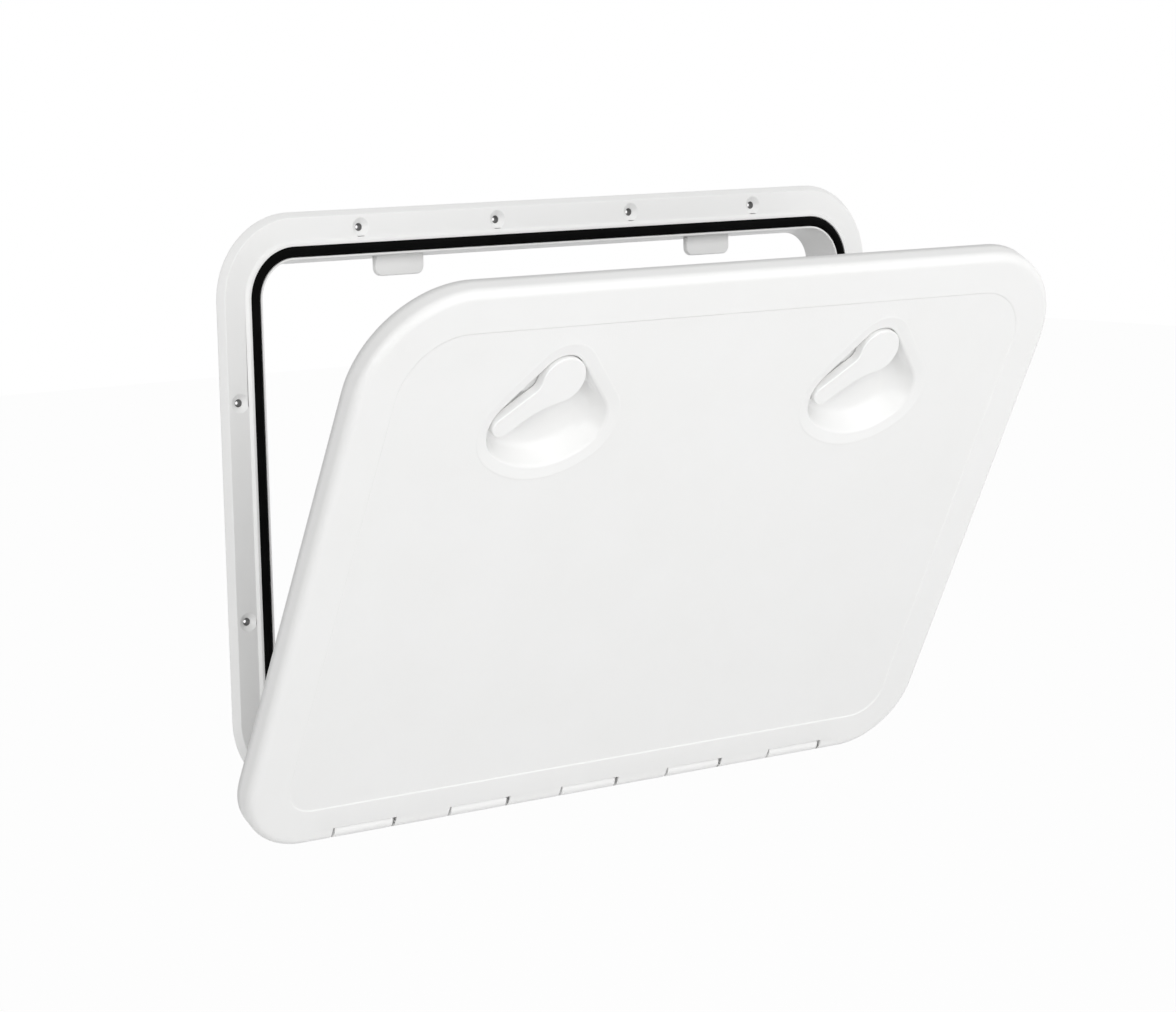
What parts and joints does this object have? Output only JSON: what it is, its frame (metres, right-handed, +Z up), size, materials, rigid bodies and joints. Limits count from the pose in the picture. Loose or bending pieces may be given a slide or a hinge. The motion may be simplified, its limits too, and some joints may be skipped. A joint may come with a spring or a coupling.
{
  "type": "inspection hatch",
  "caption": "White plastic inspection hatch: a screw-on frame with a rubber seal and collar, and a lid hinged along its lower edge with turning lever latches in finger recesses.",
  "frame": {"origin": "middle of the opening, in the plane of the flange's back face, which lies on the wall", "axes": "+X to the right seen from outside, +Y into the wall, +Z up; the lid opens towards -Y"},
  "size_m": [0.624, 0.2538, 0.452],
  "materials": {
    "white_moulding": "satin white moulded plastic",
    "lid_plastic": "white moulded plastic, fine grained in the middle and smooth round the border",
    "lever_plastic": "smooth white moulded plastic",
    "latch_plastic": "white moulded plastic",
    "seal_rubber": "black foam rubber",
    "stainless_steel": "stainless steel"
  },
  "bodies": {
    "frame": {"frame_moulding": "white_moulding", "gasket": "seal_rubber", "striker_left": "white_moulding", "striker_right": "white_moulding", "hinge_ear_1": "white_moulding", "hinge_ear_2": "white_moulding", "hinge_ear_3": "white_moulding", "hinge_ear_4": "white_moulding", "hinge_ear_5": "white_moulding", "hinge_rod": "stainless_steel"},
    "lid": {"lid_shell": "lid_plastic", "seal_rib": "white_moulding", "stiffening_ribs": "white_moulding", "handle_cup_left": "white_moulding", "handle_cup_right": "white_moulding"},
    "handle_left": {"lever_left": "lever_plastic", "spindle_left": "latch_plastic", "cam_left": "latch_plastic", "cam_screw_left": "stainless_steel"},
    "handle_right": {"lever_right": "lever_plastic", "spindle_right": "latch_plastic", "cam_right": "latch_plastic", "cam_screw_right": "stainless_steel"}
  },
  "joints": [
    {"name": "lid_hinge", "type": "hinge", "parent": "frame", "child": "lid", "pos_m": [0, -0.0125, -0.2355], "axis": [1, 0, 0], "range_deg": [-28, 152]},
    {"name": "lever_left_turn", "type": "hinge", "parent": "lid", "child": "handle_left", "pos_m": [-0.1435, -0.1957, 0.0952], "axis": [0, -0.8829, -0.4695], "range_deg": [0, 95]},
    {"name": "lever_right_turn", "type": "hinge", "parent": "lid", "child": "handle_right", "pos_m": [0.1435, -0.1957, 0.0952], "axis": [0, -0.8829, -0.4695], "range_deg": [0, 95]}
  ]
}
